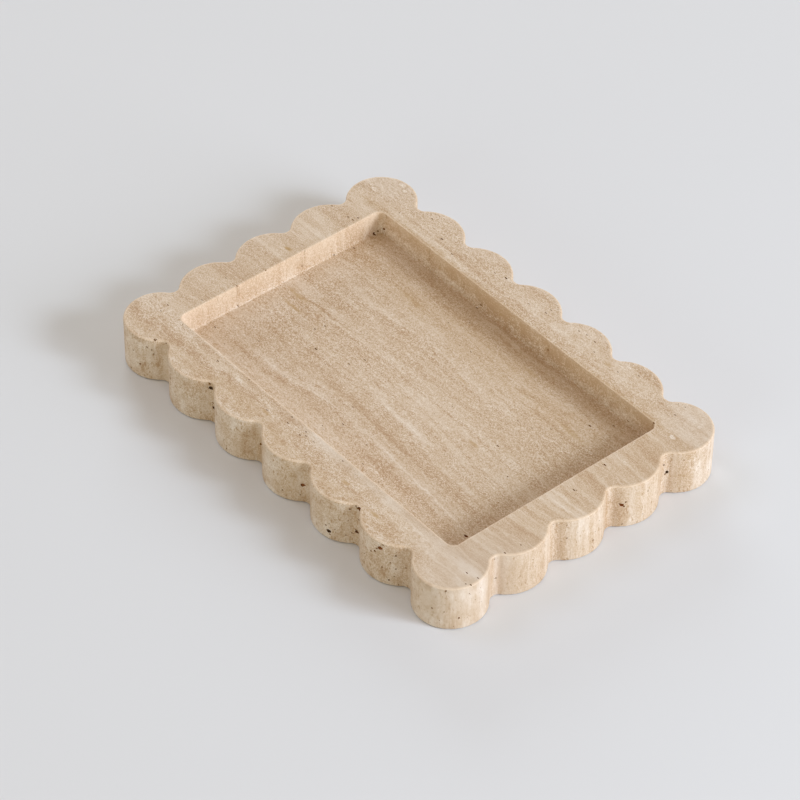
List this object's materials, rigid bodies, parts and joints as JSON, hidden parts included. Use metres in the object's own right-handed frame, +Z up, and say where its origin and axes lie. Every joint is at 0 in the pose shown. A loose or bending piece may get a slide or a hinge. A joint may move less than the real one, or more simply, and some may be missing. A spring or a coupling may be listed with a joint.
{
  "type": "stone tray",
  "caption": "Rectangular travertine serving tray with a scalloped outer edge, a shallow rectangular pocket and round non-slip pads underneath.",
  "frame": {"origin": "middle of the footprint, on the surface that the tray stands on, at the undersides of the pads", "axes": "+X along the long side, +Y along the short side, +Z up out of the pocket"},
  "size_m": [0.29, 0.2016, 0.03],
  "materials": {
    "travertine": "honed, unfilled pores",
    "pad_rubber": "matte"
  },
  "bodies": {
    "root": {"stone_tray": "travertine", "pad_front_right": "pad_rubber", "pad_back_right": "pad_rubber", "pad_back_left": "pad_rubber", "pad_front_left": "pad_rubber"}
  },
  "joints": []
}
